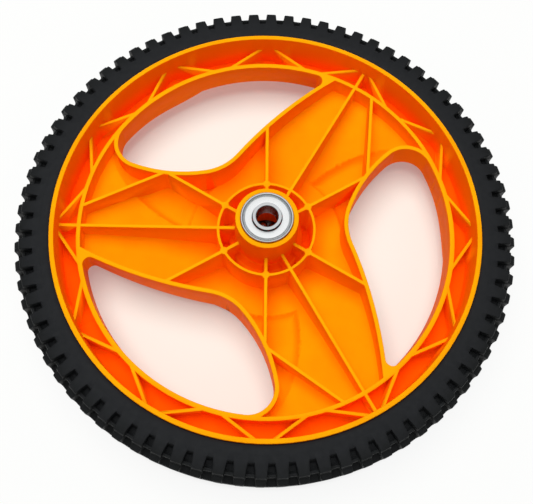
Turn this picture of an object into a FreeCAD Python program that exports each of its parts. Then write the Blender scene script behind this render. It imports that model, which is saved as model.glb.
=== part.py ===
import FreeCAD, Part
import math
import os
import Sketcher

# Lawn mower wheel lying flat, millimetres. The axle runs along Z, the ribbed back faces up,
# the front lip of the rim stands on z = 0 and the origin is on the axle.

SIZES = {
    # tyre
    "tyre_diameter": 304.8,
    "tyre_width": 44.5,
    "tyre_thickness": 22.2,
    "tyre_seat_clearance": 0.1,
    "shoulder_run": 7.9,
    "shoulder_drop": 6.5,
    "lug_count": 78,
    "gap_depth": 12.4,
    "gap_slope": 28.0,
    "gap_floor_width": 4.4,
    "gap_mouth_width": 8.2,
    "gap_mouth_rise": 13.0,
    "gap_plane_lift": 4.0,
    "gap_run": 20.2,
    # rim barrel
    "rim_width": 47.0,
    "lip_wall": 2.9,
    "bead_height": 3.0,
    "bead_width": 9.0,
    # web between hub and rim
    "web_thickness": 3.6,
    "web_inner_height": 6.0,
    "web_knee_radius": 68.0,
    "web_knee_height": 14.9,
    "web_outer_height": 21.4,
    # scoop in each spoke
    "scoop_depth": 2.6,
    "scoop_lift": 2.0,
    "scoop_tilt": 12.5,
    "scoop_plane_drop": 6.2,
    "scoop_draft": 42.0,
    "scoop_floor_margin": 0.3,
    "scoop_edge_radius": 86.0,
    "scoop_hub_radius": 49.5,
    "scoop_near_angle": 19.0,
    "scoop_far_angle": 28.0,
    # ribs
    "rib_top_height": 34.7,
    "rib_thickness": 2.1,
    "zigzag_thickness": 2.0,
    "zigzag_rim_offset": 1.4,
    "zigzag_ring_offset": 12.5,
    "channel_width": 10.5,
    "ring_thickness": 2.6,
    "hub_ring_radius": 29.8,
    "hub_ring_thickness": 1.8,
    "knot_diameter": 4.8,
    "wall_rib_reach": 71.0,
    "diagonal_start_radius": 74.5,
    "diagonal_start_angle": 150.8,
    "diagonal_end_angle": 173.6,
    # windows
    "window_wall": 2.7,
    "window_margin": 0.4,
    "window_broad_tip_radius": 15.6,
    "window_broad_tip_angle": 144.3,
    "window_foot_radius": 90.0,
    "window_hub_corner_radius": 32.0,
    "window_hub_corner_x": -44.5,
    "window_hub_corner_y": 70.1,
    "window_blade_radius": 267.0,
    "window_narrow_tip_radius": 4.2,
    "window_narrow_tip_angle": 73.1,
    # hub
    "hub_radius": 19.0,
    "hub_draft": 0.7,
    "hub_top_height": 52.7,
    "hub_front_height": 2.4,
    "hub_foot_radius": 23.0,
    "hub_foot_height": 20.0,
    "hub_core_radius": 13.0,
    # bearings
    "bearing_diameter": 32.0,
    "bearing_width": 10.0,
    "bearing_bore": 12.7,
    "bearing_seat_clearance": 0.02,
    "inboard_bearing_stand": 1.65,
    "outboard_bearing_recess": 2.0,
    "ring_lip_radius": 14.2,
    "ring_lip_depth": 1.9,
    "outer_land_radius": 13.4,
    "inner_land_radius": 8.7,
    "inner_ring_stand": 1.5,
    "bore_chamfer": 0.5,
    "shield_clearance": 0.35,
    "shield_thickness": 0.6,
    "ball_diameter": 5.95,
    "ball_count": 11,
    "ball_clearance": 0.02,
    "track_slope": 20.0,
}

SPOKES = 3
DRAWN_RING_RADIUS = 114.1
ZIGZAG_PITCH = 30
MAIN_RIB_ANGLE = 60
WALL_RIB_ANGLE = 30
BLADE_RIB_ANGLE = 90
SCOOP_ANGLE = 155
FIRST_GAP_ANGLE = -0.66


class Size:
    """A length, angle or count together with the sheet formula that gives it."""

    def __init__(self, number, formula):
        self.number = number
        self.formula = formula

    def join(self, sign, other, number):
        return Size(number, f"({self.formula} {sign} {as_size(other).formula})")

    def __add__(self, other):
        return self.join("+", other, self.number + as_size(other).number)

    def __sub__(self, other):
        return self.join("-", other, self.number - as_size(other).number)

    def __mul__(self, other):
        return self.join("*", other, self.number * as_size(other).number)

    def __truediv__(self, other):
        return self.join("/", other, self.number / as_size(other).number)

    def __neg__(self):
        return Size(-self.number, f"(0 - {self.formula})")


def as_size(value):
    """Give a plain number the same form as a size from the sheet."""
    if isinstance(value, Size):
        return value
    return Size(value, repr(float(value)))


def cosine(angle):
    return Size(math.cos(math.radians(angle.number)), f"cos({angle.formula})")


def sine(angle):
    return Size(math.sin(math.radians(angle.number)), f"sin({angle.formula})")


def polar(radius, angle):
    """Point at a radius and an angle in degrees about the axle."""
    angle = as_size(angle)
    return as_size(radius) * cosine(angle), as_size(radius) * sine(angle)


doc = FreeCAD.newDocument("mower_wheel")
sheet = doc.addObject("Spreadsheet::Sheet", "Sizes")


def fill_sheet():
    """Write each driving size into the sheet and return it under its name."""
    sizes = {}
    for row, (name, number) in enumerate(SIZES.items(), start=1):
        sheet.set(f"A{row}", name)
        sheet.set(f"B{row}", str(number))
        sheet.setAlias(f"B{row}", name)
        sizes[name] = Size(number, f"Sizes.{name}")
    doc.recompute()
    return sizes


S = fill_sheet()
ORIGIN = (-1, 1)

# sizes that follow from the tyre inwards
crown_radius = S["tyre_diameter"] / 2
seat_radius = crown_radius - S["tyre_thickness"]
lip_radius = seat_radius - S["tyre_seat_clearance"]
lip_inner = lip_radius - S["lip_wall"]
ring_outer = lip_inner - S["channel_width"]
ring_inner = ring_outer - S["ring_thickness"]
window_rim = ring_inner - S["window_margin"]
hub_ring_inner = S["hub_ring_radius"] - S["hub_ring_thickness"] / 2
hub_ring_outer = S["hub_ring_radius"] + S["hub_ring_thickness"] / 2


def spread(name):
    """A size of the pattern between hub and ring, which widens with the ring."""
    return S[name] * ring_inner / DRAWN_RING_RADIUS


def new_body(name):
    body = doc.addObject("PartDesign::Body", name)
    body.Label = name
    return body


def origin_feature(body, role):
    return next(f for f in body.Origin.OriginFeatures if f.Role == role)


def new_sketch(body, name, plane="XY_Plane", height=None, turn=0.0, tilt=None):
    """Sketch on one of the body's own planes, lifted to a height and turned about the axle.

    A tilt lifts the sketch's own x axis out of the plane.
    """
    sketch = body.newObject("Sketcher::SketchObject", name)
    sketch.AttachmentSupport = [(origin_feature(body, plane), "")]
    sketch.MapMode = "FlatFace"
    spin = FreeCAD.Rotation(FreeCAD.Vector(0, 0, 1), turn)
    sketch.AttachmentOffset = FreeCAD.Placement(FreeCAD.Vector(0, 0, 0), spin)
    if height is not None:
        sketch.setExpression("AttachmentOffset.Base.z", as_size(height).formula)
    if tilt is not None:
        sketch.setExpression("AttachmentOffset.Rotation.Pitch", (-tilt).formula)
    return sketch


def vector(point):
    return FreeCAD.Vector(as_size(point[0]).number, as_size(point[1]).number, 0)


def bind(sketch, kind, *where, size):
    """Add a dimension to a sketch and tie it to the sheet."""
    size = as_size(size)
    index = sketch.addConstraint(Sketcher.Constraint(kind, *where, size.number))
    sketch.setExpression(f"Constraints[{index}]", size.formula)


def pin(sketch, edge, end, point):
    """Hold one end of an edge at a point."""
    bind(sketch, "DistanceX", *ORIGIN, edge, end, size=point[0])
    bind(sketch, "DistanceY", *ORIGIN, edge, end, size=point[1])


def arc_between(start, end, radius):
    """Shallow arc that bulges to the left of the way from start to end."""
    chord = end - start
    rise = radius - math.sqrt(radius**2 - (chord.Length / 2) ** 2)
    left = FreeCAD.Vector(-chord.y, chord.x, 0).normalize()
    return Part.Arc(start, (start + end) / 2 + left * rise, end)


def outline(sketch, points, arcs=None):
    """Closed outline through the points; arcs gives the radius of an edge by its number.

    A positive radius bulges to the left of the edge's direction, a negative one to the right.
    """
    arcs = arcs or {}
    count = len(points)
    first = sketch.GeometryCount
    ends = []
    for i in range(count):
        start, end = vector(points[i]), vector(points[(i + 1) % count])
        if i not in arcs:
            sketch.addGeometry(Part.LineSegment(start, end))
            ends.append((1, 2))
        elif arcs[i].number < 0:
            sketch.addGeometry(arc_between(end, start, -arcs[i].number))
            ends.append((1, 2))
        else:
            sketch.addGeometry(arc_between(start, end, arcs[i].number))
            ends.append((2, 1))
    for i in range(count):
        j = (i + 1) % count
        sketch.addConstraint(
            Sketcher.Constraint("Coincident", first + i, ends[i][1], first + j, ends[j][0])
        )
    for i in range(count):
        pin(sketch, first + i, ends[i][0], points[i])
    for i, radius in arcs.items():
        bind(sketch, "Radius", first + i, size=radius if radius.number > 0 else -radius)


def circle(sketch, radius, centre=None, guide=False):
    """Circle about a centre or the axle; a guide only holds other edges in place."""
    made = Part.Circle(vector(centre or (0, 0)), FreeCAD.Vector(0, 0, 1), radius.number)
    edge = sketch.addGeometry(made, guide)
    if centre:
        pin(sketch, edge, 3, centre)
    else:
        sketch.addConstraint(Sketcher.Constraint("Coincident", edge, 3, *ORIGIN))
    bind(sketch, "Radius", edge, size=radius)
    return edge


def bar(sketch, start, end, thickness):
    """Straight rib of a given thickness about the line from start to end."""
    a, b = vector(start), vector(end)
    along = (b - a).normalize()
    side = FreeCAD.Vector(-along.y, along.x, 0) * (thickness.number / 2)
    corners = [a - side, b - side, b + side, a + side]
    first = sketch.GeometryCount
    for i in range(4):
        sketch.addGeometry(Part.LineSegment(corners[i], corners[(i + 1) % 4]))
    middle = sketch.addGeometry(Part.LineSegment(a, b), True)
    for i in range(4):
        j = first + (i + 1) % 4
        sketch.addConstraint(Sketcher.Constraint("Coincident", first + i, 2, j, 1))
    for edge, end_of_middle in ((first + 1, 2), (first + 3, 1)):
        sketch.addConstraint(Sketcher.Constraint("Symmetric", edge, 1, edge, 2, middle, end_of_middle))
        sketch.addConstraint(Sketcher.Constraint("Perpendicular", edge, middle))
        bind(sketch, "Distance", edge, size=thickness)
    pin(sketch, middle, 1, start)
    pin(sketch, middle, 2, end)


def feature(body, kind, name, sketch, **settings):
    """Make a feature from a sketch; sizes are tied to the sheet, other settings are set plainly."""
    made = body.newObject(f"PartDesign::{kind}", name)
    made.Profile = sketch
    for key, value in settings.items():
        if isinstance(value, Size):
            made.setExpression(key, value.formula)
        else:
            setattr(made, key, value)
    sketch.Visibility = False
    return made


def revolve(body, name, sketch, kind="Revolution", angle=360.0):
    made = feature(body, kind, name, sketch, Angle=angle)
    made.ReferenceAxis = (origin_feature(body, "Z_Axis"), [""])
    return made


def pattern(body, name, original, count):
    """Repeat a feature evenly round the axle."""
    made = body.newObject("PartDesign::PolarPattern", name)
    made.Originals = [original]
    made.Axis = (origin_feature(body, "Z_Axis"), [""])
    made.Angle = 360
    made.setExpression("Occurrences", as_size(count).formula)
    body.Tip = made
    doc.recompute()
    return made


def circle_meet(c1, r1, c2, r2, left):
    """Crossing of two circles on the left or right of the way from the first centre to the second."""
    way = c2 - c1
    along = (r1**2 - r2**2 + way.Length**2) / (2 * way.Length)
    across = math.sqrt(r1**2 - along**2)
    unit = FreeCAD.Vector(way).normalize()
    side = FreeCAD.Vector(-unit.y, unit.x, 0) * (across if left else -across)
    return c1 + unit * along + side


def arc_edge(centre, radius, start, end):
    """Counter-clockwise arc about a centre between the directions of two points."""
    spans = [math.atan2(p.y - centre.y, p.x - centre.x) for p in (start, end)]
    if spans[1] < spans[0]:
        spans[1] += 2 * math.pi
    return Part.ArcOfCircle(Part.Circle(centre, FreeCAD.Vector(0, 0, 1), radius), *spans)


def towards(start, end, length):
    return start + (end - start).normalize() * length


def window_outline(sketch, growth, rounded_tip):
    """Outline of the window at the left of the top spoke, grown outwards for its wall.

    Tangent arcs: the rim side about the axle, the broad tip, the foot, the corner by the hub and
    the long blade that bends into the window. The narrow tip is rounded or left sharp.
    """
    rim_r = window_rim
    broad_r = spread("window_broad_tip_radius")
    foot_r = spread("window_foot_radius")
    corner_r = spread("window_hub_corner_radius")
    blade_r = spread("window_blade_radius")
    narrow_r = spread("window_narrow_tip_radius")
    axle = FreeCAD.Vector(0, 0, 0)
    broad_xy = polar(rim_r - broad_r, S["window_broad_tip_angle"])
    corner_xy = (spread("window_hub_corner_x"), spread("window_hub_corner_y"))
    narrow_xy = polar(rim_r - narrow_r, S["window_narrow_tip_angle"])
    broad, corner, narrow = vector(broad_xy), vector(corner_xy), vector(narrow_xy)
    foot = circle_meet(
        broad, (foot_r - broad_r).number, corner, (foot_r - corner_r).number, left=True
    )
    blade = circle_meet(
        corner, (blade_r + corner_r).number, narrow, (blade_r + narrow_r).number, left=False
    )
    rim_broad = towards(axle, broad, rim_r.number)
    broad_foot = towards(foot, broad, foot_r.number)
    foot_corner = towards(foot, corner, foot_r.number)
    corner_blade = towards(blade, corner, blade_r.number)
    blade_narrow = towards(blade, narrow, blade_r.number)
    rim_narrow = towards(axle, narrow, rim_r.number)
    if not rounded_tip:
        rim_grown = (rim_r + growth).number
        blade_grown = (blade_r - growth).number
        blade_narrow = circle_meet(axle, rim_grown, blade, blade_grown, left=True)
        rim_narrow = blade_narrow
    edges = [
        (axle, rim_r + growth, rim_narrow, rim_broad),
        (broad, broad_r + growth, rim_broad, broad_foot),
        (foot, foot_r + growth, broad_foot, foot_corner),
        (corner, corner_r + growth, foot_corner, corner_blade),
        (blade, blade_r - growth, blade_narrow, corner_blade),
    ]
    if rounded_tip:
        edges.append((narrow, narrow_r + growth, blade_narrow, rim_narrow))
    for centre, radius, start, end in edges:
        sketch.addGeometry(arc_edge(centre, radius.number, start, end))
    last = len(edges) - 1
    blade_edge = 4
    for i in range(blade_edge):
        end = 2 if i + 1 == blade_edge else 1
        sketch.addConstraint(Sketcher.Constraint("Tangent", i, 2, i + 1, end))
    if rounded_tip:
        sketch.addConstraint(Sketcher.Constraint("Tangent", blade_edge, 1, last, 1))
        sketch.addConstraint(Sketcher.Constraint("Tangent", last, 2, 0, 1))
        bind(sketch, "DistanceX", *ORIGIN, last, 3, size=narrow_xy[0])
    else:
        sketch.addConstraint(Sketcher.Constraint("Coincident", blade_edge, 1, 0, 1))
        tip = circle(sketch, narrow_r + growth, narrow_xy, guide=True)
        sketch.addConstraint(Sketcher.Constraint("Tangent", blade_edge, tip))
    sketch.addConstraint(Sketcher.Constraint("Coincident", 0, 3, *ORIGIN))
    bind(sketch, "DistanceX", *ORIGIN, 1, 3, size=broad_xy[0])
    pin(sketch, 3, 3, corner_xy)
    for i, edge in enumerate(edges):
        bind(sketch, "Radius", i, size=edge[1])


def scoop_sketch(body, name, drop):
    """Outline of a spoke's scoop on a sloping plane, a given drop below the web's surface.

    It runs from the ring along the scoop's curved edge to the hub side, round the hub and back
    across the window beside it, where the opening takes the rest away.
    """
    height = S["web_inner_height"] - S["scoop_plane_drop"] - drop / cosine(S["scoop_tilt"])
    sketch = new_sketch(body, name, height=height, turn=SCOOP_ANGLE, tilt=S["scoop_tilt"])
    hub = spread("scoop_hub_radius")
    points = [
        polar(ring_inner, -2),
        polar(hub, S["scoop_near_angle"]),
        polar(hub, -S["scoop_far_angle"]),
        polar(window_rim * 2 / 3, -S["scoop_far_angle"] * 0.82),
    ]
    outline(sketch, points, {0: -spread("scoop_edge_radius"), 1: hub})
    return sketch


def web_line(drop):
    """Line of the web from the hub ring out to the barrel, a given drop below its back."""
    return [
        (hub_ring_outer, S["web_inner_height"] - drop),
        (spread("web_knee_radius"), S["web_knee_height"] - drop),
        (ring_inner, S["web_outer_height"] - drop),
        (lip_inner, S["web_outer_height"] - drop),
    ]


def rim_profile(sketch):
    """Half section of the rim: hub tube, dished web, channel floor and barrel."""
    seat = S["bearing_diameter"] / 2
    middle = S["rim_width"] / 2
    points = [
        (seat, S["hub_front_height"]),
        *web_line(S["web_thickness"]),
        (lip_inner, 0),
        (lip_radius, 0),
        (lip_radius, middle - S["bead_width"] / 2),
        (lip_radius + S["bead_height"], middle),
        (lip_radius, middle + S["bead_width"] / 2),
        (lip_radius, S["rim_width"]),
        (lip_inner, S["rim_width"]),
        *reversed(web_line(as_size(0))),
        (S["hub_foot_radius"], S["web_inner_height"]),
        (S["hub_foot_radius"], S["hub_foot_height"]),
        (S["hub_radius"] + S["hub_draft"], S["hub_foot_height"]),
        (S["hub_radius"], S["hub_top_height"]),
        (seat, S["hub_top_height"]),
        (seat, inboard_shoulder),
        (S["hub_core_radius"], inboard_shoulder),
        (S["hub_core_radius"], outboard_shoulder),
        (seat, outboard_shoulder),
    ]
    outline(sketch, points)


def front_profile(sketch):
    """Everything in front of the web, which is open."""
    below = -S["hub_front_height"]
    points = [
        (S["hub_core_radius"], S["hub_front_height"]),
        (S["hub_core_radius"], below),
        (lip_inner, below),
        *reversed(web_line(S["web_thickness"])),
    ]
    outline(sketch, points)


def raise_walls(body, name, sketch):
    """Wall from the rib tops down into the web, with the excess cut off in front later."""
    depth = S["rib_top_height"] - S["hub_front_height"]
    return feature(body, "Pad", name, sketch, Length=depth, Reversed=True)


def rim():
    """The wheel itself, one moulding: hub, web with windows, ribs, ring and barrel."""
    body = new_body("rim_moulding")
    top = S["rib_top_height"]
    dish = new_sketch(body, "rim_section", "XZ_Plane")
    rim_profile(dish)
    revolve(body, "rim_dish", dish)

    hollow = feature(
        body,
        "Pocket",
        "scoop_hollow",
        scoop_sketch(body, "scoop_hollow_outline", -S["scoop_lift"]),
        Length=S["scoop_depth"] + S["scoop_lift"],
        TaperAngle=-S["scoop_draft"],
    )
    pattern(body, "scoop_hollows", hollow, SPOKES)

    rings = new_sketch(body, "ring_walls", height=top)
    for radius in (ring_outer, ring_inner, hub_ring_outer, hub_ring_inner):
        circle(rings, radius)
    raise_walls(body, "rings", rings)

    into_barrel = lip_radius - S["lip_wall"] / 2
    in_hub = S["hub_radius"] - S["rib_thickness"] / 2
    in_ring = (ring_inner + ring_outer) / 2
    wall_reach = spread("wall_rib_reach")
    ribs = {
        "main_rib": (MAIN_RIB_ANGLE, (in_hub, 0), (into_barrel, 0)),
        "wall_rib": (WALL_RIB_ANGLE, (in_hub, 0), (wall_reach, 0)),
        "blade_rib": (BLADE_RIB_ANGLE, (in_hub, 0), (wall_reach, 0)),
        "diagonal_rib": (
            0,
            polar(spread("diagonal_start_radius"), S["diagonal_start_angle"]),
            polar(in_ring, S["diagonal_end_angle"]),
        ),
    }
    for name, (turn, start, end) in ribs.items():
        sketch = new_sketch(body, f"{name}_line", height=top, turn=turn)
        bar(sketch, start, end, S["rib_thickness"])
        pattern(body, f"{name}s", raise_walls(body, name, sketch), SPOKES)

    knot = new_sketch(body, "knot_circle", height=top, turn=WALL_RIB_ANGLE)
    circle(knot, S["knot_diameter"] / 2, (S["hub_ring_radius"], 0))
    pattern(body, "knots", raise_walls(body, "knot", knot), 2 * SPOKES)

    zigzag = new_sketch(body, "zigzag_lines", height=top)
    for side in (1, -1):
        rim_angle = S["zigzag_rim_offset"] * side
        ring_angle = S["zigzag_ring_offset"] * side
        bar(zigzag, polar(into_barrel, rim_angle), polar(in_ring, ring_angle), S["zigzag_thickness"])
    pattern(body, "zigzags", raise_walls(body, "zigzag", zigzag), 360 / ZIGZAG_PITCH)

    collar = new_sketch(body, "window_collar_outline", height=top)
    window_outline(collar, S["window_wall"], rounded_tip=False)
    pattern(body, "window_collars", raise_walls(body, "window_collar", collar), SPOKES)

    front = new_sketch(body, "front_section", "XZ_Plane")
    front_profile(front)
    revolve(body, "open_front", front, "Groove")

    bulge = feature(
        body,
        "Pad",
        "scoop_bulge",
        scoop_sketch(body, "scoop_bulge_outline", S["scoop_depth"] + S["scoop_floor_margin"]),
        Length=S["web_thickness"] - S["scoop_floor_margin"],
        TaperAngle=-S["scoop_draft"],
        Reversed=True,
    )
    pattern(body, "scoop_bulges", bulge, SPOKES)

    window = new_sketch(body, "window_opening", height=top)
    window_outline(window, as_size(0), rounded_tip=True)
    cut = feature(body, "Pocket", "window", window, Type="ThroughAll")
    pattern(body, "windows", cut, SPOKES)
    return body


def tyre():
    """Solid rubber tyre seated over the bead of the barrel, with lugs down both shoulders."""
    body = new_body("tyre")
    middle = S["rim_width"] / 2
    half = S["tyre_width"] / 2
    section = new_sketch(body, "tyre_section", "XZ_Plane")
    upper = [
        (crown_radius, half - S["shoulder_drop"]),
        (crown_radius - S["shoulder_run"], half),
        (seat_radius, half),
        (seat_radius, S["bead_width"] / 2),
    ]
    points = [(r, middle + z) for r, z in upper]
    points.append((seat_radius + S["bead_height"], middle))
    points += [(r, middle - z) for r, z in reversed(upper)]
    outline(section, points)
    revolve(body, "tyre_ring", section)
    gaps_between_lugs(body, "upper", middle, half, 1)
    gaps_between_lugs(body, "lower", middle, half, -1)
    return body


def gaps_between_lugs(body, side, middle, half, up):
    """Ring of wedge cuts that start at the sidewall and run in towards the middle of the tread.

    The floor of each cut slopes outwards and its sides open towards the tread. The sketch lies
    across the cut, on a plane that clears the tyre by a little.
    """
    slope = S["gap_slope"]
    start = crown_radius - S["gap_depth"]
    across = start / cosine(slope) + S["gap_plane_lift"] * sine(slope)
    lift = half + S["gap_plane_lift"] * cosine(slope) - across * sine(slope)
    height = middle + lift * up
    name = f"{side}_gap_section"
    sketch = new_sketch(body, name, height=height, turn=FIRST_GAP_ANGLE, tilt=slope * up)
    floor = S["gap_floor_width"] / 2
    mouth = S["gap_mouth_width"] / 2
    top = across + S["gap_mouth_rise"]
    outline(sketch, [(across, -floor), (top, -mouth), (top, mouth), (across, floor)])
    cut = feature(body, "Pocket", f"{side}_gap", sketch, Length=S["gap_run"], Reversed=up < 0)
    pattern(body, f"{side}_gaps", cut, S["lug_count"])


def place(body, height, flipped):
    """Set a bearing piece at its height, facing up or down."""
    turn = FreeCAD.Rotation(FreeCAD.Vector(1, 0, 0), 180.0 if flipped else 0.0)
    body.Placement = FreeCAD.Placement(FreeCAD.Vector(0, 0, 0), turn)
    body.setExpression("Placement.Base.z", height.formula)


def turned(name, points):
    """Piece turned on the lathe from a half section."""
    body = new_body(name)
    section = new_sketch(body, f"{name}_section", "XZ_Plane")
    outline(section, points)
    revolve(body, f"{name}_turning", section)
    return body


def ball_track(land, away):
    """Track of two cones that the balls touch, as the corners of its section across a land."""
    track = -S["bearing_width"] / 2
    slope = S["track_slope"]
    floor = pitch_radius + ball_reach / cosine(slope) * away
    half = (floor - land) * away * cosine(slope) / sine(slope)
    return [(land, track + half), (floor, track), (land, track - half)]


def outer_ring(name):
    """Outer race with a lip that the shield sits in."""
    outside = S["bearing_diameter"] / 2 - S["bearing_seat_clearance"]
    land = S["outer_land_radius"]
    points = [
        (S["ring_lip_radius"], 0),
        (S["ring_lip_radius"], -S["ring_lip_depth"]),
        (land, -S["ring_lip_depth"]),
        *ball_track(land, 1),
        (land, -S["bearing_width"]),
        (outside, -S["bearing_width"]),
        (outside, 0),
    ]
    return turned(name, points)


def inner_ring(name):
    """Inner race, longer than the outer one so that the axle's shoulder bears on it alone."""
    bore = S["bearing_bore"] / 2
    land = S["inner_land_radius"]
    top = S["inner_ring_stand"]
    chamfer = S["bore_chamfer"]
    points = [
        (bore, -S["bearing_width"]),
        (bore, top - chamfer),
        (bore + chamfer, top),
        (land, top),
        *ball_track(land, -1),
        (land, -S["bearing_width"]),
    ]
    return turned(name, points)


def shield(name):
    """Flat steel shield set in the outer ring's lip, clear of the inner ring."""
    inside = S["inner_land_radius"] + S["shield_clearance"]
    outside = S["ring_lip_radius"] - S["bearing_seat_clearance"]
    back = S["bearing_seat_clearance"] - S["ring_lip_depth"]
    front = back + S["shield_thickness"]
    return turned(name, [(inside, back), (outside, back), (outside, front), (inside, front)])


def faceted_ball(centre, radius):
    """Ball with flat facets between evenly spaced meridians and parallels."""
    meridians, parallels = 8, 5
    rows = []
    for i in range(1, parallels):
        tilt = math.pi * i / parallels
        ring = []
        for j in range(meridians):
            turn = 2 * math.pi * j / meridians
            ring.append(centre + FreeCAD.Vector(
                radius * math.sin(tilt) * math.cos(turn),
                radius * math.sin(tilt) * math.sin(turn),
                radius * math.cos(tilt),
            ))
        rows.append(ring)
    north = centre + FreeCAD.Vector(0, 0, radius)
    south = centre - FreeCAD.Vector(0, 0, radius)
    faces = []
    for j in range(meridians):
        k = (j + 1) % meridians
        faces.append((north, rows[0][j], rows[0][k]))
        faces.append((south, rows[-1][k], rows[-1][j]))
        for upper, lower in zip(rows, rows[1:]):
            faces.append((upper[j], lower[j], lower[k], upper[k]))
    flat = [Part.Face(Part.makePolygon([*corners, corners[0]])) for corners in faces]
    return Part.makeSolid(Part.makeShell(flat))


def balls(name):
    """The balls of one bearing, side by side round the pitch circle with no cage."""
    made = doc.addObject("Part::Feature", name)
    made.Label = name
    count = int(sheet.ball_count)
    track = -sheet.bearing_width / 2
    solids = []
    for i in range(count):
        turn = 2 * math.pi * i / count
        reach = pitch_radius.number
        centre = FreeCAD.Vector(reach * math.cos(turn), reach * math.sin(turn), track)
        solids.append(faceted_ball(centre, sheet.ball_diameter / 2))
    made.Shape = Part.makeCompound(solids)
    return made


def bearing(side, height, flipped):
    """One shielded ball bearing; the upper end of its own frame is the face that shows."""
    pieces = [
        outer_ring(f"{side}_bearing_outer_ring"),
        inner_ring(f"{side}_bearing_inner_ring"),
        shield(f"{side}_bearing_shield"),
        balls(f"{side}_bearing_balls"),
    ]
    for piece in pieces:
        place(piece, height, flipped)
    return pieces


def check(pieces):
    """Stop if any object failed or any piece is not one whole, valid shape."""
    for item in doc.Objects:
        if "Invalid" in item.State or "Error" in item.State:
            raise RuntimeError(f"{item.Name} failed: {item.State}")
    for piece in pieces:
        if piece.Shape.isNull() or not piece.Shape.isValid() or not piece.Shape.Solids:
            raise RuntimeError(f"{piece.Label} has no valid solid")


inboard_face = S["hub_top_height"] + S["inboard_bearing_stand"]
outboard_face = S["hub_front_height"] + S["outboard_bearing_recess"]
inboard_shoulder = inboard_face - S["bearing_width"]
outboard_shoulder = outboard_face + S["bearing_width"]
pitch_radius = (S["outer_land_radius"] + S["inner_land_radius"]) / 2
ball_reach = S["ball_diameter"] / 2 + S["ball_clearance"]

pieces = [rim(), tyre()]
pieces += bearing("inboard", inboard_face, flipped=False)
pieces += bearing("outboard", outboard_face, flipped=True)
doc.recompute()
check(pieces)

os.makedirs("parts", exist_ok=True)
for piece in pieces:
    piece.Shape.exportStep(os.path.join("parts", f"{piece.Label}.step"))
    print(piece.Label, len(piece.Shape.Solids), round(piece.Shape.Volume / 1000, 2), "cm3")
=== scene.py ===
import math
import random

import bmesh
import bpy
from bpy.props import FloatProperty, FloatVectorProperty, IntProperty, PointerProperty
from mathutils import Matrix, Vector


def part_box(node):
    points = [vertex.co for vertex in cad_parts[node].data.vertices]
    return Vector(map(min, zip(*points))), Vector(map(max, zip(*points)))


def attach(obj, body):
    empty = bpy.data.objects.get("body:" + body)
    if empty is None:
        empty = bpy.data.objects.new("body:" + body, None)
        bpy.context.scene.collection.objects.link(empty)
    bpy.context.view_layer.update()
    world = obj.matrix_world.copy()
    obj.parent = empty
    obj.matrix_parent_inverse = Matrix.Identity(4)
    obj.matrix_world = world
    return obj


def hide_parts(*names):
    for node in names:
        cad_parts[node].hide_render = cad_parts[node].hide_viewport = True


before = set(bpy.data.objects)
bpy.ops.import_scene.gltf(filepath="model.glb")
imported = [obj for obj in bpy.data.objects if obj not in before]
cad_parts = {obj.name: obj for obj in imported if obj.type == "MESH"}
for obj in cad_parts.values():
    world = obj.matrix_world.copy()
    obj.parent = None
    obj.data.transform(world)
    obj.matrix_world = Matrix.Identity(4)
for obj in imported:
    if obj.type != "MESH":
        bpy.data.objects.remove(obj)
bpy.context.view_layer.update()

bl_info = {
    "name": "Lawn mower wheel",
    "version": (1, 0, 0),
    "blender": (4, 5, 0),
    "location": "View3D > Sidebar > Wheel",
    "description": "Dresses a spoked mower wheel: moulded rim, lugged tyre, bearings and stage",
    "category": "Object",
}

MM = 0.001
SIDES = ("inboard", "outboard")


class WheelSizes(bpy.types.PropertyGroup):
    """Sizes of the wheel's visible pieces."""

    lug_count: IntProperty(
        name="Lugs", description="Lugs round each shoulder of the tyre", default=78, min=12
    )
    lug_phase: FloatProperty(
        name="Lug phase",
        description="Direction of the first lug about the axle",
        default=math.radians(1.65),
        subtype="ANGLE",
    )
    lug_wear: FloatProperty(
        name="Lug wear",
        description="Largest random shift of a lug's edges",
        default=0.16 * MM,
        unit="LENGTH",
    )
    rib_top: FloatProperty(
        name="Rib tops",
        description="Height of the tops of ribs and rings above the front lip",
        default=34.7 * MM,
        unit="LENGTH",
    )
    hub_top: FloatProperty(
        name="Hub top", description="Height of the hub tube's end", default=52.7 * MM, unit="LENGTH"
    )
    rim_width: FloatProperty(
        name="Rim width", description="Width of the rim's barrel", default=47.0 * MM, unit="LENGTH"
    )
    hub_front: FloatProperty(
        name="Hub front",
        description="Height of the hub's front face above the front lip",
        default=2.4 * MM,
        unit="LENGTH",
    )
    edge_rounding: FloatProperty(
        name="Edge rounding",
        description="Rounding along the moulding's level edges",
        default=0.45 * MM,
        unit="LENGTH",
    )
    web_thickness: FloatProperty(
        name="Web", description="Thickness of the dished web", default=3.6 * MM, unit="LENGTH"
    )
    web_grid: FloatProperty(
        name="Web grid", description="Longest edge of the web's facets", default=2.4 * MM, unit="LENGTH"
    )
    ball_radius: FloatProperty(
        name="Ball radius", description="Radius of a bearing ball", default=2.975 * MM, unit="LENGTH"
    )
    ball_circle: FloatProperty(
        name="Ball circle",
        description="Radius of the circle through the ball centres",
        default=11.05 * MM,
        unit="LENGTH",
    )
    ball_count: IntProperty(name="Balls", description="Balls in each bearing", default=11, min=3)


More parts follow.
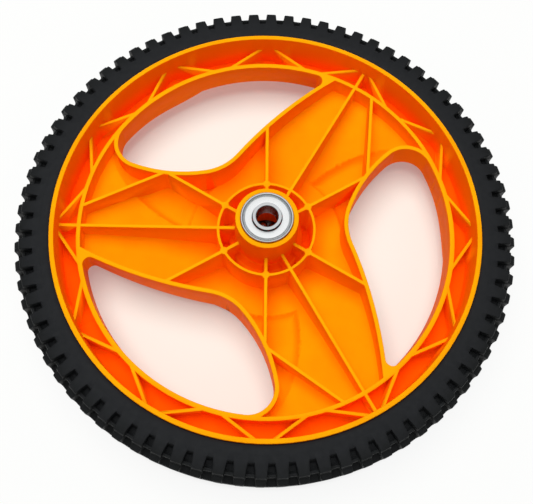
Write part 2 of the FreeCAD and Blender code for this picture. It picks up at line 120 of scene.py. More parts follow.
class WheelColours(bpy.types.PropertyGroup):
    """Colours of the wheel's finishes and of the stage."""

    rim: FloatVectorProperty(
        name="Rim plastic", description="Moulded orange of the web", subtype="COLOR", size=4,
        default=(1.0, 0.375, 0.001, 1.0),
    )
    # Painted shade: a deep orange put on the upward floors of the hub pockets and the ring channel
    rim_pocket_shade: FloatVectorProperty(
        name="Rim pockets", description="Deep orange of the pocket floors", subtype="COLOR", size=4,
        default=(0.96, 0.115, 0.0006, 1.0),
    )
    # Painted shade: a deeper orange put on faces that do not face up
    rim_wall_shade: FloatVectorProperty(
        name="Rim walls", description="Deeper orange of the drafted walls", subtype="COLOR", size=4,
        default=(0.98, 0.205, 0.0008, 1.0),
    )
    # Painted highlight: a paler orange put on upward faces at the rib-top height
    rim_top_highlight: FloatVectorProperty(
        name="Rubbed rib tops", description="Paler orange of the rubbed tops", subtype="COLOR",
        size=4, default=(1.0, 0.46, 0.003, 1.0),
    )
    # Painted glow: a red emission all over the moulding, standing in for light scattered through the
    # plastic
    rim_glow: FloatVectorProperty(
        name="Rim glow", description="Red light that passes through the moulding", subtype="COLOR",
        size=4, default=(1.0, 0.05, 0.0, 1.0),
    )
    rubber: FloatVectorProperty(
        name="Rubber", description="Sidewall of the tyre", subtype="COLOR", size=4,
        default=(0.0150, 0.0160, 0.0175, 1.0),
    )
    lug_rubber: FloatVectorProperty(
        name="Lug rubber", description="Darker faces of the lugs", subtype="COLOR", size=4,
        default=(0.0105, 0.0115, 0.0115, 1.0),
    )
    steel: FloatVectorProperty(
        name="Steel", description="Ground rings and balls", subtype="COLOR", size=4,
        default=(0.66, 0.68, 0.69, 1.0),
    )
    zinc: FloatVectorProperty(
        name="Zinc", description="Plated shields", subtype="COLOR", size=4,
        default=(0.98, 1.0, 1.0, 1.0),
    )
    floor: FloatVectorProperty(
        name="Floor", description="Pale floor of the stage", subtype="COLOR", size=4,
        default=(0.95, 0.985, 0.885, 1.0),
    )


def sizes():
    """The wheel's sizes, as the panel shows them."""
    return bpy.context.scene.wheel_sizes


def colours():
    """The wheel's colours, as the panel shows them."""
    return bpy.context.scene.wheel_colours


# Finishes

NOISE_SPAN = (0.3, 0.7)
PATCH_SPAN = (0.35, 0.65)
LEVEL_FACING = (0.1, 0.9)
FLOW_SHARE = (0.75, 1.0)
HUB_POCKETS_END = (29.0 * MM, 31.0 * MM)
RING_CHANNEL_START = (114.5 * MM, 116.5 * MM)
# Height band just under the rib tops that takes the painted highlight
HIGHLIGHT_FROM, HIGHLIGHT_TO = 0.5 * MM, 0.1 * MM
PLASTIC_ROUGHNESS = (0.40, 0.52)
PLASTIC_GLOW = 0.07
PLASTIC_SHEEN = (1.0, 0.6, 0.15, 1.0)
LUGS_START = (139.5 * MM, 147.5 * MM)
LUG_PATCH_SHARE = (0.35, 1.0)
RUBBER_ROUGHNESS = (0.48, 0.66)
RING_ROUGHNESS = (0.16, 0.30)
SHIELD_ROUGHNESS = (0.22, 0.36)
BALL_ROUGHNESS = (0.06, 0.12)
SMEAR_LEVEL = 0.92
FLOOR_FADE = (130.0 * MM, 155.0 * MM)
FLOOR_WHITE = (0.22, 0.90)


def new_finish(name):
    """New node material; gives the material, its node tree and its surface shader."""
    finish = bpy.data.materials.new(name)
    finish.use_nodes = True
    tree = finish.node_tree
    return finish, tree, tree.nodes["Principled BSDF"]


def noise(tree, place, scale, detail=4.0, roughness=0.55):
    """Noise over a place."""
    made = tree.nodes.new("ShaderNodeTexNoise")
    made.inputs["Scale"].default_value = scale
    made.inputs["Detail"].default_value = detail
    made.inputs["Roughness"].default_value = roughness
    tree.links.new(place, made.inputs["Vector"])
    return made.outputs["Fac"]


def ramp(tree, value, span, result=(0.0, 1.0)):
    """Stretch a value from one span to another."""
    made = tree.nodes.new("ShaderNodeMapRange")
    made.inputs["From Min"].default_value, made.inputs["From Max"].default_value = span
    made.inputs["To Min"].default_value, made.inputs["To Max"].default_value = result
    tree.links.new(value, made.inputs["Value"])
    return made.outputs["Result"]


def blend_colour(tree, amount, first, second):
    """Blend from a first colour, or a node's output, to a second colour."""
    made = tree.nodes.new("ShaderNodeMix")
    made.data_type = "RGBA"
    if isinstance(first, bpy.types.NodeSocket):
        tree.links.new(first, made.inputs["A"])
    else:
        made.inputs["A"].default_value = first
    made.inputs["B"].default_value = second
    tree.links.new(amount, made.inputs["Factor"])
    return made.outputs["Result"]


def joined(tree, operation, first, second):
    """Two values made into one, such as their product or the larger of them."""
    made = tree.nodes.new("ShaderNodeMath")
    made.operation = operation
    tree.links.new(first, made.inputs[0])
    tree.links.new(second, made.inputs[1])
    return made.outputs["Value"]


def both(tree, first, second):
    """Product of two shares."""
    return joined(tree, "MULTIPLY", first, second)


def upward(tree, vector):
    """Upward part of a direction or place."""
    split = tree.nodes.new("ShaderNodeSeparateXYZ")
    tree.links.new(vector, split.inputs["Vector"])
    return split.outputs["Z"]


def relief(tree, height, strength, depth, under=None):
    """Fine relief of the surface, on top of another relief if one is given."""
    made = tree.nodes.new("ShaderNodeBump")
    made.inputs["Strength"].default_value = strength
    made.inputs["Distance"].default_value = depth
    tree.links.new(height, made.inputs["Height"])
    if under is not None:
        tree.links.new(under, made.inputs["Normal"])
    return made.outputs["Normal"]


def own_place(tree):
    """Place of a surface point in the piece's own frame."""
    return tree.nodes.new("ShaderNodeTexCoord").outputs["Object"]


def axle_distance(tree, place):
    """Distance of a surface point from the axle line."""
    flat = tree.nodes.new("ShaderNodeVectorMath")
    flat.operation = "MULTIPLY"
    flat.inputs[1].default_value = (1.0, 1.0, 0.0)
    tree.links.new(place, flat.inputs[0])
    length = tree.nodes.new("ShaderNodeVectorMath")
    length.operation = "LENGTH"
    tree.links.new(flat.outputs["Vector"], length.inputs[0])
    return length.outputs["Value"]


def orange_plastic():
    """Satin moulded plastic: painted shade on the walls and pocket floors, a painted highlight on the
    rib tops, a painted red glow, flow marks and fine grain.
    """
    finish, tree, shader = new_finish("orange_moulded_plastic")
    place = own_place(tree)
    facing = upward(tree, tree.nodes.new("ShaderNodeNewGeometry").outputs["True Normal"])
    flow = ramp(tree, noise(tree, place, scale=38.0), NOISE_SPAN, FLOW_SHARE)
    level = both(tree, ramp(tree, facing, LEVEL_FACING), flow)
    distance = axle_distance(tree, place)
    beyond_hub = ramp(tree, distance, HUB_POCKETS_END)
    within_ring = ramp(tree, distance, RING_CHANNEL_START, (1.0, 0.0))
    dished = both(tree, level, both(tree, beyond_hub, within_ring))
    top = sizes().rib_top
    # Painted highlight mask: upward faces within a band just under the rib-top height
    raised = ramp(tree, upward(tree, place), (top - HIGHLIGHT_FROM, top - HIGHLIGHT_TO))
    highlighted = both(tree, raised, level)
    # Painted shade and highlight: faces that do not face up take the deeper wall orange, upward pocket
    # floors the deep pocket orange, the upward web the plain orange, and upward faces at rib-top height
    # a paler painted highlight
    shade = blend_colour(tree, level, colours().rim_wall_shade, colours().rim_pocket_shade)
    shade = blend_colour(tree, dished, shade, colours().rim)
    shade = blend_colour(tree, highlighted, shade, colours().rim_top_highlight)
    tree.links.new(shade, shader.inputs["Base Color"])
    handling = noise(tree, place, scale=160.0, detail=6.0)
    roughness = ramp(tree, handling, NOISE_SPAN, PLASTIC_ROUGHNESS)
    tree.links.new(roughness, shader.inputs["Roughness"])
    sink = relief(tree, noise(tree, place, scale=45.0, detail=2.0), strength=0.25, depth=0.4 * MM)
    specks = noise(tree, place, scale=2600.0, detail=2.0)
    grain = relief(tree, specks, strength=0.10, depth=0.05 * MM, under=sink)
    tree.links.new(grain, shader.inputs["Normal"])
    shader.inputs["Specular IOR Level"].default_value = 0.015
    shader.inputs["Specular Tint"].default_value = PLASTIC_SHEEN
    # Painted glow: faint red emission all over, standing in for light scattered through the plastic
    shader.inputs["Emission Color"].default_value = colours().rim_glow
    shader.inputs["Emission Strength"].default_value = PLASTIC_GLOW
    return finish


def black_rubber():
    """Matt moulded rubber, with darker patches on the lugs than on the sidewall."""
    finish, tree, shader = new_finish("black_tyre_rubber")
    place = own_place(tree)
    outwards = ramp(tree, axle_distance(tree, place), LUGS_START)
    patches = ramp(tree, noise(tree, place, scale=120.0, detail=6.0), PATCH_SPAN, LUG_PATCH_SHARE)
    dark = both(tree, outwards, patches)
    shade = blend_colour(tree, dark, colours().rubber, colours().lug_rubber)
    tree.links.new(shade, shader.inputs["Base Color"])
    handling = noise(tree, place, scale=300.0, detail=6.0)
    roughness = ramp(tree, handling, NOISE_SPAN, RUBBER_ROUGHNESS)
    tree.links.new(roughness, shader.inputs["Roughness"])
    mould = relief(tree, noise(tree, place, scale=220.0, detail=3.0), strength=0.25, depth=0.12 * MM)
    specks = noise(tree, place, scale=2200.0, detail=3.0)
    grain = relief(tree, specks, strength=0.25, depth=0.06 * MM, under=mould)
    tree.links.new(grain, shader.inputs["Normal"])
    shader.inputs["Specular IOR Level"].default_value = 0.14
    return finish


def turned_metal(name, colour, roughness):
    """Bright metal with the fine rings that turning leaves."""
    finish, tree, shader = new_finish(name)
    place = own_place(tree)
    rings = tree.nodes.new("ShaderNodeCombineXYZ")
    tree.links.new(axle_distance(tree, place), rings.inputs["X"])
    lines = noise(tree, rings.outputs["Vector"], scale=5200.0, detail=3.0)
    smears = noise(tree, place, scale=420.0, detail=5.0)
    darker = tuple(SMEAR_LEVEL * part for part in colour[:3]) + (1.0,)
    tree.links.new(blend_colour(tree, smears, darker, colour), shader.inputs["Base Color"])
    tree.links.new(ramp(tree, lines, NOISE_SPAN, roughness), shader.inputs["Roughness"])
    tree.links.new(relief(tree, lines, strength=0.12, depth=0.02 * MM), shader.inputs["Normal"])
    shader.inputs["Metallic"].default_value = 1.0
    return finish


def stage_floor():
    """Pale matt floor that the camera sees as near white, with the wheel's shadow kept on it."""
    finish, tree, shader = new_finish("pale_floor")
    shader.inputs["Base Color"].default_value = colours().floor
    shader.inputs["Roughness"].default_value = 0.9
    shader.inputs["Specular IOR Level"].default_value = 0.0
    share = ramp(tree, axle_distance(tree, own_place(tree)), FLOOR_FADE, FLOOR_WHITE)
    path = tree.nodes.new("ShaderNodeLightPath")
    seen = path.outputs["Is Camera Ray"]
    for other in ("Is Glossy Ray", "Is Transmission Ray"):
        seen = joined(tree, "MAXIMUM", seen, path.outputs[other])
    white = tree.nodes.new("ShaderNodeEmission")
    mix = tree.nodes.new("ShaderNodeMixShader")
    tree.links.new(both(tree, share, seen), mix.inputs["Fac"])
    tree.links.new(shader.outputs["BSDF"], mix.inputs[1])
    tree.links.new(white.outputs["Emission"], mix.inputs[2])
    tree.links.new(mix.outputs["Shader"], tree.nodes["Material Output"].inputs["Surface"])
    return finish


# Meshes

CORNER_SHARE = 0.4
LATHE_SEGMENTS = 128


def to_mesh(mesh, name, crease):
    """Finished mesh, shaded smooth with crisp edges above a crease angle in degrees."""
    bmesh.ops.recalc_face_normals(mesh, faces=mesh.faces)
    data = bpy.data.meshes.new(name)
    mesh.to_mesh(data)
    mesh.free()
    data.shade_smooth()
    data.set_sharp_from_angle(angle=math.radians(crease))
    return data


def new_piece(name, mesh, finish, body, node):
    """Show a mesh as a piece that stands for a solid and moves with its body."""
    piece = bpy.data.objects.new(name, mesh)
    bpy.context.scene.collection.objects.link(piece)
    mesh.materials.clear()
    mesh.materials.append(finish)
    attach(piece, body)
    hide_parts(node)


def scaled(points):
    """Points of an outline given in mm."""
    return [(radius * MM, height * MM) for radius, height in points]


def rounded(corners, radius, steps=3):
    """Closed outline with each corner replaced by a small arc."""
    outline = []
    count = len(corners)
    for i, corner in enumerate(corners):
        here = Vector(corner)
        before = Vector(corners[i - 1]) - here
        after = Vector(corners[(i + 1) % count]) - here
        reach = min(radius, CORNER_SHARE * before.length, CORNER_SHARE * after.length)
        start = here + before.normalized() * reach
        end = here + after.normalized() * reach
        for k in range(steps + 1):
            t = k / steps
            outline.append(start * (1 - t) ** 2 + here * (2 * t * (1 - t)) + end * t**2)
    return outline


def on_circle(radius, turn, height):
    """Point at a radius, a direction about the axle and a height."""
    return radius * math.cos(turn), radius * math.sin(turn), height


def skin(mesh, rings):
    """Faces between rings of points, each ring closed and the last joined to the first."""
    grid = [[mesh.verts.new(point) for point in ring] for ring in rings]
    count = len(grid[0])
    for r, here in enumerate(grid):
        there = grid[(r + 1) % len(grid)]
        for i in range(count):
            n = (i + 1) % count
            mesh.faces.new((here[i], here[n], there[n], there[i]))


def lathe(name, outline):
    """Ring turned from a closed outline of radius and height."""
    mesh = bmesh.new()
    turns = [2 * math.pi * i / LATHE_SEGMENTS for i in range(LATHE_SEGMENTS)]
    skin(mesh, [[on_circle(p[0], turn, p[1]) for p in outline] for turn in turns])
    return to_mesh(mesh, name, crease=38)


# Rim moulding

CORNER_ANGLE = math.radians(40)
EDGE_TOLERANCE = 0.02 * MM
FACE_TOLERANCE = 0.005 * MM
WELD_DISTANCE = 0.004 * MM
HEIGHT_TOLERANCE = 0.01 * MM
ROUNDING_STEPS = 3


def edge_on(edge, height):
    """Is the edge a corner that lies level at a height?"""
    level = all(abs(v.co.z - height) < EDGE_TOLERANCE for v in edge.verts)
    return level and len(edge.link_faces) == 2 and edge.calc_face_angle(0.0) > CORNER_ANGLE


def rounded_moulding(name, source, heights, size):
    """Copy of the moulding's solid with its level edges rounded and its web laid smooth."""
    mesh = bmesh.new()
    mesh.from_mesh(source)
    bmesh.ops.remove_doubles(mesh, verts=mesh.verts, dist=WELD_DISTANCE)
    corners = [e for e in mesh.edges if any(edge_on(e, h) for h in heights)]
    bmesh.ops.bevel(
        mesh,
        geom=corners,
        offset=size.edge_rounding,
        offset_type="OFFSET",
        segments=ROUNDING_STEPS,
        profile=0.5,
        affect="EDGES",
        clamp_overlap=False,
    )
    for height in heights:
        refill_level(mesh, height)
    lay_web(mesh, size)
    data = to_mesh(mesh, name, crease=32)
    set_web_normals(data)
    return data


def refill_level(mesh, height):
    """Give the level faces at a height one clean fill between their outlines."""
    level = [
        f for f in mesh.faces if all(abs(v.co.z - height) < FACE_TOLERANCE for v in f.verts)
    ]
    uses = {}
    for face in level:
        for edge in face.edges:
            uses[edge] = uses.get(edge, 0) + 1
    outlines = [edge for edge, count in uses.items() if count == 1]
    bmesh.ops.delete(mesh, geom=level, context="FACES_ONLY")
    bmesh.ops.triangle_fill(mesh, edges=outlines, use_beauty=True, normal=(0, 0, 1))
    loose = [e for e in mesh.edges if not e.link_faces]
    bmesh.ops.delete(mesh, geom=loose, context="EDGES")


# Web of the rim, with all lengths in mm

WEB_CURVE = [(30.7, 6.0), (68.0, 14.9), (114.1, 21.4)]
WEB_HEADROOM = 1.0
WEB_LEAST_FACING = 0.5
WEB_DIVISIONS = 4
SLOPE_STEP = 0.05
SPOKES = 3
SCOOP_TURN = math.radians(155.0)
SCOOP_FAR_SIDE = math.radians(-42.0)
SCOOP_FAR_RUN = math.radians(14.0)
SCOOP_EDGE_RADIUS = 86.0
SCOOP_EDGE_CENTRE = Vector((57.9, -69.2))
SCOOP_START_RADIUS = 49.5
SCOOP_RUN = 6.0
SCOOP_FLOOR_AT_AXLE = -4.5
SCOOP_FLOOR_RISE = math.tan(math.radians(12.5))


def dish_height(radius):
    """Height of the web's back at a radius without the scoops, as one smooth curve."""
    (r0, z0), (r1, z1), (r2, z2) = WEB_CURVE
    first = (z1 - z0) / (r1 - r0)
    second = ((z2 - z1) / (r2 - r1) - first) / (r2 - r0)
    return z0 + first * (radius - r0) + second * (radius - r0) * (radius - r1)


def hollowed(distance, run):
    """Share of a hollow's depth at a distance from its edge: steep at first, then level."""
    share = min(max(distance / run, 0.0), 1.0)
    return share * (2.0 - share)


def web_height(x, y):
    """Height of the web's back, with a scoop beside each spoke's main rib."""
    radius = math.hypot(x, y)
    pitch = 2 * math.pi / SPOKES
    turn = (math.atan2(y, x) - SCOOP_TURN + pitch / 2) % pitch - pitch / 2
    dish = dish_height(radius)
    place = Vector((radius * math.cos(turn), radius * math.sin(turn)))
    edge = SCOOP_EDGE_RADIUS - (place - SCOOP_EDGE_CENTRE).length
    inside = hollowed(min(edge, radius - SCOOP_START_RADIUS), SCOOP_RUN)
    inside *= hollowed(turn - SCOOP_FAR_SIDE, SCOOP_FAR_RUN)
    floor = SCOOP_FLOOR_AT_AXLE + place.x * SCOOP_FLOOR_RISE
    return dish - inside * max(dish - floor, 0.0)


def web_normal(x, y):
    """Upward normal of the web's back."""
    step = SLOPE_STEP
    slope_x = (web_height(x + step, y) - web_height(x - step, y)) / (2 * step)
    slope_y = (web_height(x, y + step) - web_height(x, y - step)) / (2 * step)
    return Vector((-slope_x, -slope_y, 1.0)).normalized()


def on_web(centre, normal):
    """Does a face belong to the dished web between the hub ring and the outer ring?"""
    (start, _), (end, top) = WEB_CURVE[0], WEB_CURVE[-1]
    between = start < centre.xy.length / MM < end
    return between and abs(normal.z) > WEB_LEAST_FACING and centre.z < (top + WEB_HEADROOM) * MM


def web_faces(mesh):
    """Faces of the web in a mesh that is being edited."""
    return [f for f in mesh.faces if on_web(f.calc_center_median(), f.normal)]


def lay_web(mesh, size):
    """Divide the web into fine facets and lay both its sides on a smooth surface."""
    for _ in range(WEB_DIVISIONS):
        edges = dict.fromkeys(e for f in web_faces(mesh) for e in f.edges)
        coarse = [e for e in edges if e.calc_length() > size.web_grid]
        bmesh.ops.subdivide_edges(mesh, edges=coarse, cuts=1)
        mesh.normal_update()
        split = [f for f in web_faces(mesh) if len(f.verts) > 3]
        bmesh.ops.triangulate(mesh, faces=split)
        mesh.normal_update()
    facing = {}
    for face in web_faces(mesh):
        for vert in face.verts:
            facing[vert] = facing.get(vert, 0.0) + face.normal.z * face.calc_area()
    for vert, up in facing.items():
        back = web_height(vert.co.x / MM, vert.co.y / MM) * MM
        vert.co.z = back if up > 0 else back - size.web_thickness


def set_web_normals(data):
    """Shade the web by its smooth surface instead of by its facets."""
    normals = [Vector((0, 0, 0))] * len(data.loops)
    for face in data.polygons:
        if on_web(face.center, face.normal):
            for loop in face.loop_indices:
                place = data.vertices[data.loops[loop].vertex_index].co / MM
                back = web_normal(place.x, place.y)
                normals[loop] = back if face.normal.z > 0 else -back
    data.normals_split_custom_set(normals)


class WHEEL_OT_rim(bpy.types.Operator):
    """Show the one-piece rim moulding with rounded edges in orange plastic"""

    bl_idname = "wheel.rim"
    bl_label = "Rim moulding"

    def execute(self, context):
        size = context.scene.wheel_sizes
        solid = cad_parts["rim_moulding"].data
        low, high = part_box("rim_moulding")
        if abs(high[2] - size.hub_top) > HEIGHT_TOLERANCE:
            raise RuntimeError("the hub's end is not the moulding's highest face")
        heights = (low[2], size.hub_front, size.rib_top, size.rim_width, size.hub_top)
        mesh = rounded_moulding("moulded_rim", solid, heights, size)
        new_piece("moulded_rim", mesh, orange_plastic(), "wheel", "rim_moulding")
        return {"FINISHED"}


# Tyre, with sections as radius and height in mm

SIDEWALL = [(130.2, 44.7), (130.9, 45.3), (133.2, 45.68), (136.2, 45.75), (139.6, 45.62)]
LUG_SECTION = SIDEWALL + [
    (140.2, 45.56), (143.8, 45.35), (147.2, 44.8), (148.1, 44.5), (148.5, 43.7), (148.7, 41.4),
    (149.1, 40.6), (151.0, 39.8), (152.0, 39.2), (152.4, 38.2), (152.4, 35.0), (152.4, 32.0),
    (152.4, 30.4), (152.4, 27.0),
]
GAP_SECTION = SIDEWALL + [
    (140.2, 45.2), (140.8, 42.0), (141.8, 39.0), (144.5, 38.0), (145.6, 38.6), (146.0, 39.6),
    (147.4, 39.6), (147.7, 39.0), (147.7, 37.5), (147.75, 36.2), (147.8, 34.6), (147.9, 32.2),
    (152.1, 30.6), (152.4, 27.0),
]
LUG_HALF_WIDTHS = [3.7] * 6 + [3.45, 3.2, 3.1, 3.05, 3.0, 3.0, 2.9, 2.75, 2.65, 2.6, 2.6, 2.6, 2.6]
FOOT_HALF_WIDTHS = [3.9] * 6 + [3.85, 3.7, 3.6, 3.5, 3.5, 3.5, 3.55, 3.6, 3.6, 3.6, 3.6, 3.6, 3.6]
BEAD_SECTION = [(130.2, 19.0), (133.2, 23.5), (130.2, 28.0)]
WORN_ROWS = range(6, 15)
WEAR_SEED = 11
LUG_INNER_SHARE = 0.55
EDGE_INSIDE, EDGE_OUTSIDE, EDGE_LEVEL = 0.25, 0.05, 0.93
FOOT_RUN, FOOT_LEVEL = 0.35, 0.06


def lug_columns(lug, foot, half_pitch):
    """Columns of one pitch from the lug's middle to the gap's: side shift in mm and lug level."""
    return [
        (0.0, 1.0),
        (LUG_INNER_SHARE * lug, 1.0),
        (lug - EDGE_INSIDE, 1.0),
        (lug + EDGE_OUTSIDE, EDGE_LEVEL),
        (0.5 * (lug + foot), 0.5),
        (foot, FOOT_LEVEL),
        (foot + FOOT_RUN, 0.0),
        (half_pitch, 0.0),
    ]


def tyre_row(size, row, worn, flip):
    """Points of one row right round the tyre; a flipped row lies on its front half."""
    lug, gap = Vector(LUG_SECTION[row]) * MM, Vector(GAP_SECTION[row]) * MM
    half_pitch = math.pi / size.lug_count
    radius = lug.x
    columns = lug_columns(
        LUG_HALF_WIDTHS[row], FOOT_HALF_WIDTHS[row], half_pitch * radius / MM
    )
    shifts = [(-shift, level) for shift, level in reversed(columns[1:-1])] + columns
    points = []
    for k in range(size.lug_count):
        middle = size.lug_phase + 2 * half_pitch * k
        left, right, lower = worn[k]
        for shift, level in shifts:
            place = gap.lerp(lug, level)
            edge = right if shift > 0 else left
            wear = edge * level if row >= len(SIDEWALL) else 0.0
            turn = middle + (shift * MM + wear) / radius
            height = place.y - (lower * level if row in WORN_ROWS else 0.0)
            if flip:
                height = size.rim_width - height
            points.append(on_circle(place.x, turn, height))
    return points


def plain_row(section, count, phase):
    """Points of a row without lugs."""
    radius, height = Vector(section) * MM
    return [on_circle(radius, phase + 2 * math.pi * i / count, height) for i in range(count)]


def worn_lugs(size, chance):
    """Random shifts of the lugs on one shoulder: left edge, right edge and top."""
    wear = size.lug_wear
    return [
        (chance.uniform(-wear, wear), chance.uniform(-wear, wear), abs(chance.gauss(0, wear)))
        for _ in range(size.lug_count)
    ]


def lugged_tyre(name, size):
    """Tyre as rows round the axle, from the inner edge over the back, tread and front."""
    chance = random.Random(WEAR_SEED)
    back = worn_lugs(size, chance)
    front = worn_lugs(size, chance)
    rows = [tyre_row(size, row, back, False) for row in range(len(LUG_SECTION))]
    rows += [tyre_row(size, row, front, True) for row in reversed(range(len(LUG_SECTION)))]
    first_x, first_y, _ = rows[0][0]
    phase = math.atan2(first_y, first_x)
    rows += [plain_row(section, len(rows[0]), phase) for section in BEAD_SECTION]
    mesh = bmesh.new()
    skin(mesh, rows)
    return to_mesh(mesh, name, crease=40)


class WHEEL_OT_tyre(bpy.types.Operator):
    """Show the rubber tyre with its lugs"""

    bl_idname = "wheel.tyre"
    bl_label = "Tyre"

    def execute(self, context):
        mesh = lugged_tyre("lugged_tyre", context.scene.wheel_sizes)
        new_piece("lugged_tyre", mesh, black_rubber(), "wheel", "tyre")
        return {"FINISHED"}


# Bearings, with outlines as radius and height from the outer ring's face in mm

BORE_RADIUS = 6.35
INNER_LAND = 8.7
OUTER_LAND = 13.4
SEAT_RADIUS = 15.98
RING_BACK = -10.0
TRACK_MIDDLE = -5.0
TRACK_PLAY = 0.03
TRACK_STEPS = 10
BALL_DIVISIONS = 3
OUTER_RING_FACE = [
    (SEAT_RADIUS, -0.5), (15.6, -0.02), (14.75, -0.12), (14.3, -0.6), (14.2, -1.9), (OUTER_LAND, -1.9),
]
OUTER_RING_ROUNDING = 0.22
INNER_RING_FACE = [(BORE_RADIUS, 1.0), (6.85, 1.5), (INNER_LAND, 1.5)]
INNER_RING_ROUNDING = 0.15
SHIELD_PRESSING = [
    (9.05, -0.6), (9.05, -1.1), (12.7, -1.1), (13.5, -1.88), (14.16, -1.88), (14.16, -1.6),
    (13.95, -1.55), (13.3, -0.6),
]
SHIELD_ROUNDING = 0.2


def set_in_hub(mesh, side):
    """Move a bearing piece from its own frame, face at zero, to its end of the hub."""
    low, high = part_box(f"{side}_bearing_outer_ring")
    face = high[2] if side == "inboard" else low[2]
    if side == "outboard":
        mesh.transform(Matrix.Rotation(math.pi, 4, "X"))
    mesh.transform(Matrix.Translation((0, 0, face)))


def track_arc(size, land, away):
    """Round ball track in a ring's land, from the face inwards."""
    reach = size.ball_radius + TRACK_PLAY * MM
    half = math.acos(abs(land * MM - size.ball_circle) / reach)
    points = []
    for k in range(TRACK_STEPS + 1):
        t = half - 2 * half * k / TRACK_STEPS
        points.append((
            size.ball_circle + away * reach * math.cos(t), TRACK_MIDDLE * MM + reach * math.sin(t)
        ))
    return points


def ring_outline(size, face, rounding, away):
    """Outline of a ring: its face, the ball track in its land and its square back."""
    edge, land = face[0][0], face[-1][0]
    outline = rounded(scaled(face), rounding * MM)
    return outline + track_arc(size, land, away) + scaled([(land, RING_BACK), (edge, RING_BACK)])


class WHEEL_OT_bearing_rings(bpy.types.Operator):
    """Show the inner and outer rings of both bearings"""

    bl_idname = "wheel.bearing_rings"
    bl_label = "Bearing rings"

    def execute(self, context):
        size = context.scene.wheel_sizes
        steel = turned_metal("ground_bearing_steel", colours().steel, RING_ROUGHNESS)
        outer = ring_outline(size, OUTER_RING_FACE, OUTER_RING_ROUNDING, 1)
        inner = ring_outline(size, INNER_RING_FACE, INNER_RING_ROUNDING, -1)
        for side in SIDES:
            mesh = lathe(f"{side}_outer_ring", outer)
            set_in_hub(mesh, side)
            new_piece(f"{side}_outer_ring", mesh, steel, "wheel",
                      f"{side}_bearing_outer_ring")
            mesh = lathe(f"{side}_inner_ring", inner)
            set_in_hub(mesh, side)
            new_piece(f"{side}_inner_ring", mesh, steel, f"{side}_race",
                      f"{side}_bearing_inner_ring")
        return {"FINISHED"}


class WHEEL_OT_bearing_shields(bpy.types.Operator):
    """Show the pressed shields of both bearings"""

    bl_idname = "wheel.bearing_shields"
    bl_label = "Bearing shields"

    def execute(self, context):
        zinc = turned_metal("zinc_plated_shield", colours().zinc, SHIELD_ROUGHNESS)
        pressing = rounded(scaled(SHIELD_PRESSING), SHIELD_ROUNDING * MM)
        for side in SIDES:
            mesh = lathe(f"{side}_shield", pressing)
            set_in_hub(mesh, side)
            new_piece(f"{side}_shield", mesh, zinc, "wheel",
                      f"{side}_bearing_shield")
        return {"FINISHED"}


class WHEEL_OT_bearing_balls(bpy.types.Operator):
    """Show the balls of both bearings"""

    bl_idname = "wheel.bearing_balls"
    bl_label = "Bearing balls"

    def execute(self, context):
        size = context.scene.wheel_sizes
        polished = turned_metal("polished_ball_steel", colours().steel, BALL_ROUGHNESS)
        for side in SIDES:
            mesh = bmesh.new()
            for i in range(size.ball_count):
                turn = 2 * math.pi * i / size.ball_count
                centre = on_circle(size.ball_circle, turn, TRACK_MIDDLE * MM)
                bmesh.ops.create_icosphere(
                    mesh, subdivisions=BALL_DIVISIONS, radius=size.ball_radius,
                    matrix=Matrix.Translation(centre),
                )
            data = to_mesh(mesh, f"{side}_balls", crease=60)
            set_in_hub(data, side)
            new_piece(f"{side}_balls", data, polished, f"{side}_ball_set",
                      f"{side}_bearing_balls")
        return {"FINISHED"}


# Stage

FLOOR_REACH = 4.0
FLOOR_DROP = 0.2 * MM
LAMP_AIM = (0, 0, 0.02)
EVEN_LIGHT = 0.2
MIRRORED_HEIGHTS = (0.5, 0.93)
MIRRORED_LIGHT = (0.04, 1.0)
SEEN_LIGHT = 1.0
CAMERA_PLACE = (-0.0093, -0.1578, 0.4659)
CAMERA_HEADING = math.radians(-3.8365)
CAMERA_TILT = math.radians(18.3065)
CAMERA_ROLL = math.radians(4.6253)
CAMERA_LENS = 50.24
CAMERA_SENSOR = 36.0
CAMERA_NEAR = 0.01


def pale_floor():
    """Wide level floor just below the wheel."""
    mesh = bpy.data.meshes.new("floor")
    reach = FLOOR_REACH
    mesh.from_pydata(
        [(-reach, -reach, 0), (reach, -reach, 0), (reach, reach, 0), (-reach, reach, 0)],
        [], [(0, 1, 2, 3)],
    )
    mesh.materials.append(stage_floor())
    floor = bpy.data.objects.new("floor", mesh)
    floor.location.z = -FLOOR_DROP
    bpy.context.scene.collection.objects.link(floor)


def soft_lamp(name, place, width, power):
    """Round soft lamp aimed at the wheel, kept out of reflections."""
    lamp = bpy.data.lights.new(name, "AREA")
    lamp.shape = "DISK"
    lamp.size = width
    lamp.energy = power
    holder = bpy.data.objects.new(name, lamp)
    holder.visible_glossy = False
    holder.location = place
    holder.rotation_euler = (Vector(LAMP_AIM) - Vector(place)).to_track_quat("-Z", "Y").to_euler()
    bpy.context.scene.collection.objects.link(holder)


def studio_world():
    """Surroundings: white to the eye, even for light, brighter overhead in reflections."""
    world = bpy.data.worlds.new("studio")
    world.use_nodes = True
    tree = world.node_tree
    height = upward(tree, tree.nodes.new("ShaderNodeTexCoord").outputs["Generated"])
    mirrored = ramp(tree, height, MIRRORED_HEIGHTS, MIRRORED_LIGHT)
    path = tree.nodes.new("ShaderNodeLightPath")
    level = tree.nodes.new("ShaderNodeMix")
    level.inputs["A"].default_value = EVEN_LIGHT
    tree.links.new(mirrored, level.inputs["B"])
    tree.links.new(path.outputs["Is Glossy Ray"], level.inputs["Factor"])
    seen = tree.nodes.new("ShaderNodeMix")
    tree.links.new(level.outputs["Result"], seen.inputs["A"])
    seen.inputs["B"].default_value = SEEN_LIGHT
    tree.links.new(path.outputs["Is Camera Ray"], seen.inputs["Factor"])
    background = tree.nodes["Background"]
    tree.links.new(seen.outputs["Result"], background.inputs["Strength"])
    background.inputs["Color"].default_value = (1.0, 1.0, 1.0, 1.0)
    bpy.context.scene.world = world


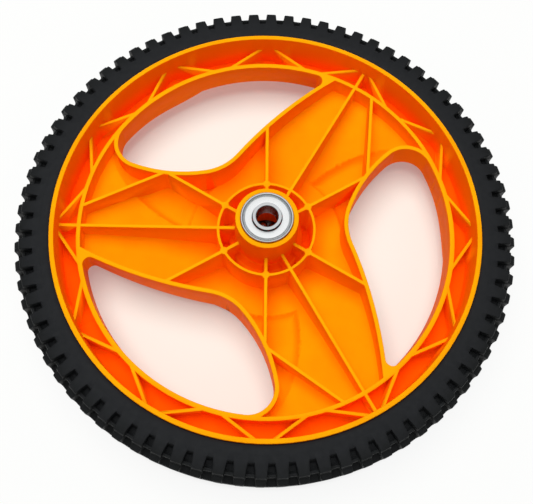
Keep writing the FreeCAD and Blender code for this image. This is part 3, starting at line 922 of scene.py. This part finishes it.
def stage_camera():
    """Camera that looks down on the wheel's back."""
    lens = bpy.data.cameras.new("camera")
    lens.lens = CAMERA_LENS
    lens.sensor_width = CAMERA_SENSOR
    lens.clip_start = CAMERA_NEAR
    camera = bpy.data.objects.new("camera", lens)
    turn = (
        Matrix.Rotation(CAMERA_HEADING, 4, "Z")
        @ Matrix.Rotation(CAMERA_TILT, 4, "X")
        @ Matrix.Rotation(CAMERA_ROLL, 4, "Z")
    )
    camera.matrix_world = Matrix.Translation(CAMERA_PLACE) @ turn
    bpy.context.scene.collection.objects.link(camera)
    bpy.context.scene.camera = camera


class WHEEL_OT_stage(bpy.types.Operator):
    """Set the floor, lamps, surroundings and camera"""

    bl_idname = "wheel.stage"
    bl_label = "Stage"

    def execute(self, context):
        pale_floor()
        soft_lamp("overhead_lamp", place=(-0.15, 0.25, 1.3), width=1.1, power=15.0)
        soft_lamp("front_lamp", place=(0.5, -1.1, 0.9), width=0.7, power=1.2)
        studio_world()
        stage_camera()
        context.scene.view_settings.view_transform = "Standard"
        return {"FINISHED"}


class WHEEL_PT_parts(bpy.types.Panel):
    """Lists the wheel's pieces, sizes and colours"""

    bl_label = "Mower wheel"
    bl_idname = "WHEEL_PT_parts"
    bl_space_type = "VIEW_3D"
    bl_region_type = "UI"
    bl_category = "Wheel"

    def draw(self, context):
        layout = self.layout
        for group in (context.scene.wheel_sizes, context.scene.wheel_colours):
            box = layout.box()
            for name in group.__annotations__:
                box.prop(group, name)
        for operator in OPERATORS:
            layout.operator(operator.bl_idname)


OPERATORS = (
    WHEEL_OT_rim,
    WHEEL_OT_tyre,
    WHEEL_OT_bearing_rings,
    WHEEL_OT_bearing_shields,
    WHEEL_OT_bearing_balls,
    WHEEL_OT_stage,
)
CLASSES = (WheelSizes, WheelColours) + OPERATORS + (WHEEL_PT_parts,)


def register():
    for item in CLASSES:
        bpy.utils.register_class(item)
    bpy.types.Scene.wheel_sizes = PointerProperty(type=WheelSizes)
    bpy.types.Scene.wheel_colours = PointerProperty(type=WheelColours)


def unregister():
    del bpy.types.Scene.wheel_colours
    del bpy.types.Scene.wheel_sizes
    for item in reversed(CLASSES):
        bpy.utils.unregister_class(item)


def main():
    register()
    bpy.ops.wheel.rim()
    bpy.ops.wheel.tyre()
    bpy.ops.wheel.bearing_rings()
    bpy.ops.wheel.bearing_shields()
    bpy.ops.wheel.bearing_balls()
    bpy.ops.wheel.stage()


if __name__ == "__main__":
    main()
